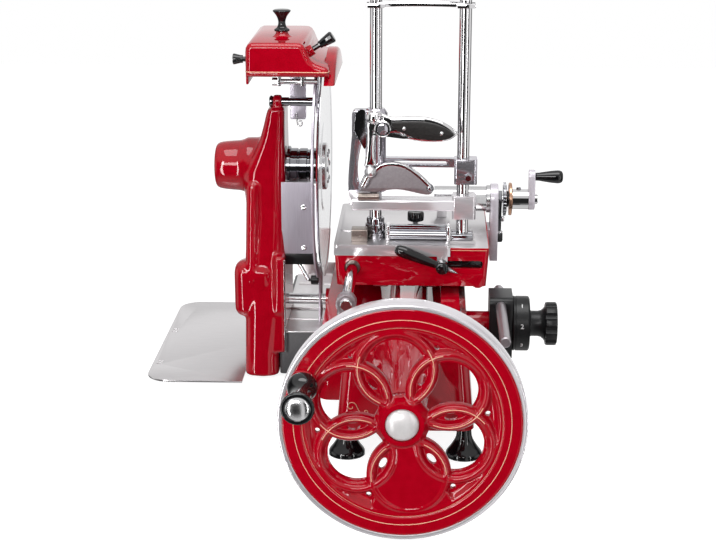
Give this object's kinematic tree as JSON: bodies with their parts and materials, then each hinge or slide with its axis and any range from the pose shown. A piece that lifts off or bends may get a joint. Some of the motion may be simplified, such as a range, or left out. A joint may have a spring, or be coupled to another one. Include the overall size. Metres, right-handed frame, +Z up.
{
  "type": "hand crank meat slicer",
  "caption": "Hand crank meat slicer: a lattice flywheel turns a round blade while a carriage with a clamp and screw feed runs past it, with sharpener, thickness dial and receiving plate",
  "frame": {"origin": "centre of the bounding box's footprint, on the surface the feet stand on", "axes": "+X to the operator's right and along the blade's axis away from the standard, +Y away from the operator along the flywheel shaft and the carriage's travel, +Z up"},
  "size_m": [0.598, 0.9752, 0.5695],
  "materials": {
    "red_enamel": "gloss red enamel with pale pinstripes",
    "chrome": "polished chrome plate",
    "bright_steel": "fine brushed steel",
    "blade_steel": "ground and polished knife steel",
    "aluminium": "satin machined aluminium",
    "black_satin": "black anodised, satin",
    "dark_iron": "dark grey painted iron",
    "bronze": "plain bearing bronze",
    "black_plastic": "polished black plastic"
  },
  "bodies": {
    "frame": {"base_casting": "red_enamel", "shaft_bushes": "bronze", "bell_feet": "black_plastic", "base_deck": "dark_iron", "drip_tray": "bright_steel", "receiving_plate": "bright_steel", "blade_standard": "red_enamel", "drive_chain": "bright_steel", "blade_bearing": "aluminium", "blade_guard": "bright_steel", "stay_rod": "chrome", "sharpener_post": "bright_steel", "slice_deflector": "bright_steel", "deflector_bar": "dark_iron", "guide_rod": "chrome", "rod_brackets": "bright_steel", "roller_rail": "bright_steel", "dial_bracket": "black_satin"},
    "flywheel": {"flywheel_casting": "red_enamel", "flywheel_rim": "chrome", "flywheel_cap": "chrome", "crank_spindle": "chrome", "main_shaft": "bright_steel"},
    "crank_grip": {"crank_grip": "black_plastic"},
    "cross_shaft": {"cross_shaft": "bright_steel"},
    "blade": {"slicing_blade": "blade_steel", "blade_hub": "bright_steel", "blade_shaft": "bright_steel"},
    "sharpener": {"sharpener_cover": "red_enamel", "cover_knob": "black_plastic", "stone_spindle": "bright_steel"},
    "grinding_knob": {"grinding_knob": "black_plastic"},
    "honing_knob": {"honing_knob": "black_plastic"},
    "carriage": {"carriage_casting": "red_enamel", "carriage_bushes": "bronze", "end_plate": "aluminium", "screw_tube": "bright_steel"},
    "rail_roller": {"rail_roller": "bright_steel"},
    "feed_crank": {"feed_screw": "bright_steel", "feed_ratchet": "bright_steel", "feed_dial": "chrome", "feed_crank": "aluminium"},
    "feed_grip": {"feed_grip": "black_plastic"},
    "pawl_lever": {"pawl_lever": "bright_steel"},
    "table": {"meat_table": "aluminium", "table_fence": "black_plastic", "fence_knob": "black_plastic", "press_columns": "chrome", "crossbar": "chrome", "column_nuts": "chrome", "feed_nut": "bronze"},
    "lock_lever": {"lock_lever": "black_plastic"},
    "clamp": {"clamp_casting": "chrome", "press_bar": "chrome", "press_foot": "aluminium"},
    "clamp_lever": {"lever_arm": "chrome", "lever_grips": "black_plastic"},
    "control_rod": {"control_rod": "chrome"},
    "thickness_dial": {"thickness_dial": "black_satin"}
  },
  "joints": [
    {"name": "flywheel_spin", "type": "hinge", "parent": "frame", "child": "flywheel", "pos_m": [0.08198, -0.40136, 0.1468], "axis": [0, 1, 0], "continuous": true},
    {"name": "crank_grip_spin", "type": "hinge", "parent": "flywheel", "child": "crank_grip", "pos_m": [-0.02798, -0.44136, 0.19484], "axis": [0, 1, 0], "continuous": true},
    {"name": "cross_shaft_spin", "type": "hinge", "parent": "frame", "child": "cross_shaft", "pos_m": [-0.01802, 0.21064, 0.1028], "axis": [1, 0, 0], "continuous": true},
    {"name": "blade_spin", "type": "hinge", "parent": "frame", "child": "blade", "pos_m": [-0.04102, 0.21064, 0.304], "axis": [1, 0, 0], "continuous": true},
    {"name": "sharpener_lift", "type": "slide", "parent": "frame", "child": "sharpener", "axis": [0, 0, 1], "range_m": [0, 0.03]},
    {"name": "grinding_push", "type": "slide", "parent": "sharpener", "child": "grinding_knob", "axis": [1, 0, 0], "range_m": [0, 0.005], "stiffness_N_per_m": 400},
    {"name": "honing_push", "type": "slide", "parent": "sharpener", "child": "honing_knob", "axis": [-0.8434, 0, -0.5373], "range_m": [0, 0.005], "stiffness_N_per_m": 400, "springref_m": -0.001},
    {"name": "carriage_slide", "type": "slide", "parent": "frame", "child": "carriage", "axis": [0, 1, 0], "range_m": [-0.14, 0.14]},
    {"name": "rail_roller_spin", "type": "hinge", "parent": "carriage", "child": "rail_roller", "pos_m": [0.15498, 0.13714, 0.1803], "axis": [1, 0, 0], "continuous": true},
    {"name": "table_slide", "type": "slide", "parent": "carriage", "child": "table", "axis": [1, 0, 0], "range_m": [0, 0.05]},
    {"name": "feed_crank_turn", "type": "hinge", "parent": "carriage", "child": "feed_crank", "pos_m": [0.24998, 0.17664, 0.266], "axis": [1, 0, 0], "range_deg": [0, 1800]},
    {"name": "feed_grip_spin", "type": "hinge", "parent": "feed_crank", "child": "feed_grip", "pos_m": [0.26998, 0.17664, 0.299], "axis": [1, 0, 0], "continuous": true},
    {"name": "pawl_swing", "type": "hinge", "parent": "carriage", "child": "pawl_lever", "pos_m": [0.20998, 0.17664, 0.266], "axis": [1, 0, 0], "range_deg": [-20, 20]},
    {"name": "lock_turn", "type": "hinge", "parent": "table", "child": "lock_lever", "pos_m": [0.12748, 0.01064, 0.211], "axis": [0, 1, 0], "range_deg": [-15, 25]},
    {"name": "clamp_slide", "type": "slide", "parent": "table", "child": "clamp", "axis": [0, 0, 1], "range_m": [0, 0.12]},
    {"name": "clamp_lever_turn", "type": "hinge", "parent": "clamp", "child": "clamp_lever", "pos_m": [0.04598, 0.03764, 0.395], "axis": [0, -1, 0], "range_deg": [0, 40]},
    {"name": "dial_turn", "type": "hinge", "parent": "frame", "child": "thickness_dial", "pos_m": [0.22398, 0.03164, 0.127], "axis": [1, 0, 0], "range_deg": [-60, 60]},
    {"name": "control_slide", "type": "slide", "parent": "frame", "child": "control_rod", "axis": [0, 1, 0], "range_m": [-0.028, 0.028]}
  ],
  "couplings": [
    {"joint": "cross_shaft_spin", "follows": "flywheel_spin", "ratio": -1},
    {"joint": "blade_spin", "follows": "flywheel_spin", "ratio": -2},
    {"joint": "feed_crank_turn", "follows": "table_slide", "rad_per_m": 628.32},
    {"joint": "control_slide", "follows": "dial_turn", "m_per_rad": -0.025}
  ]
}
